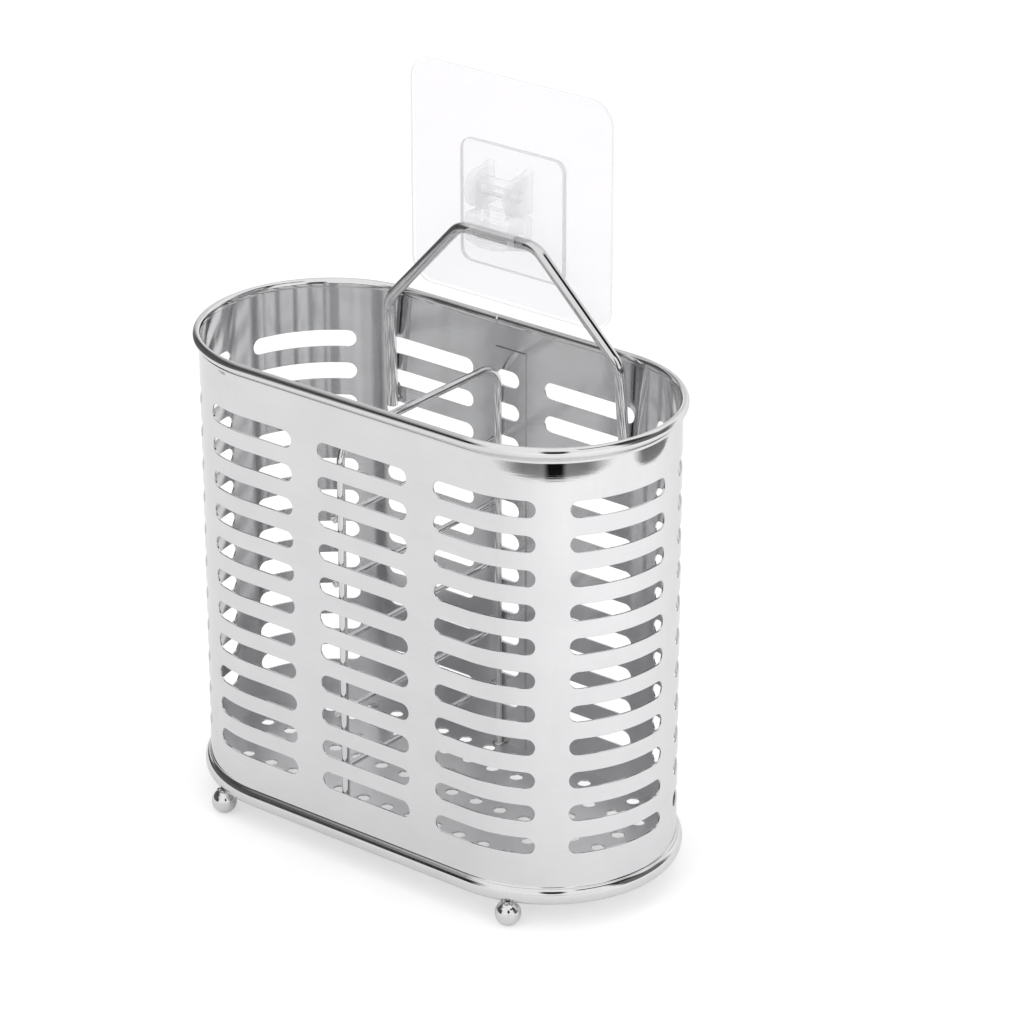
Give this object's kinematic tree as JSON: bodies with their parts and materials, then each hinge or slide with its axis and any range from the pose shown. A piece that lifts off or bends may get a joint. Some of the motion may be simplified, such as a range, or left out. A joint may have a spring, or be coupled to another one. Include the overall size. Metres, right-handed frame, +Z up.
{
  "type": "cutlery rack",
  "caption": "Oval slotted steel cutlery rack with a wire divider, ball feet and a wire bail held by a clear adhesive wall hook with a hinged latch.",
  "frame": {"origin": "on the surface that the ball feet stand on, at the middle of the rack's oval plan", "axes": "+X along the rack's long side, +Y towards the wall that the hook sticks to, +Z up"},
  "size_m": [0.1714, 0.0847, 0.2373],
  "materials": {
    "sheet_steel": "satin bright",
    "bright_steel": "polished",
    "wire_steel": "polished",
    "clear_sheet": "clear",
    "clear_plastic": "clear moulded",
    "adhesive": "clear tacky"
  },
  "bodies": {
    "rack": {"wall_sheet": "sheet_steel", "floor_pan": "sheet_steel", "foot_front_left": "bright_steel", "foot_front_right": "bright_steel", "foot_back_left": "bright_steel", "foot_back_right": "bright_steel", "divider_arch": "wire_steel", "divider_wire_1": "wire_steel", "divider_wire_2": "wire_steel", "divider_wire_3": "wire_steel", "divider_wire_4": "wire_steel", "divider_wire_5": "wire_steel", "hanger_bail": "wire_steel"},
    "wall_hook": {"adhesive_film": "adhesive", "wall_pad": "clear_sheet", "hook_base": "clear_plastic", "latch_pin": "clear_plastic"},
    "latch": {"hook_latch": "clear_plastic"}
  },
  "joints": [
    {"name": "hook_on_bar", "type": "hinge", "parent": "rack", "child": "wall_hook", "pos_m": [-0.0025, 0.03285, 0.1889], "axis": [1, 0, 0], "range_deg": [-8, 135]},
    {"name": "latch_on_pin", "type": "hinge", "parent": "wall_hook", "child": "latch", "pos_m": [-0.0025, 0.03345, 0.2032], "axis": [-1, 0, 0], "range_deg": [0, 110]}
  ]
}
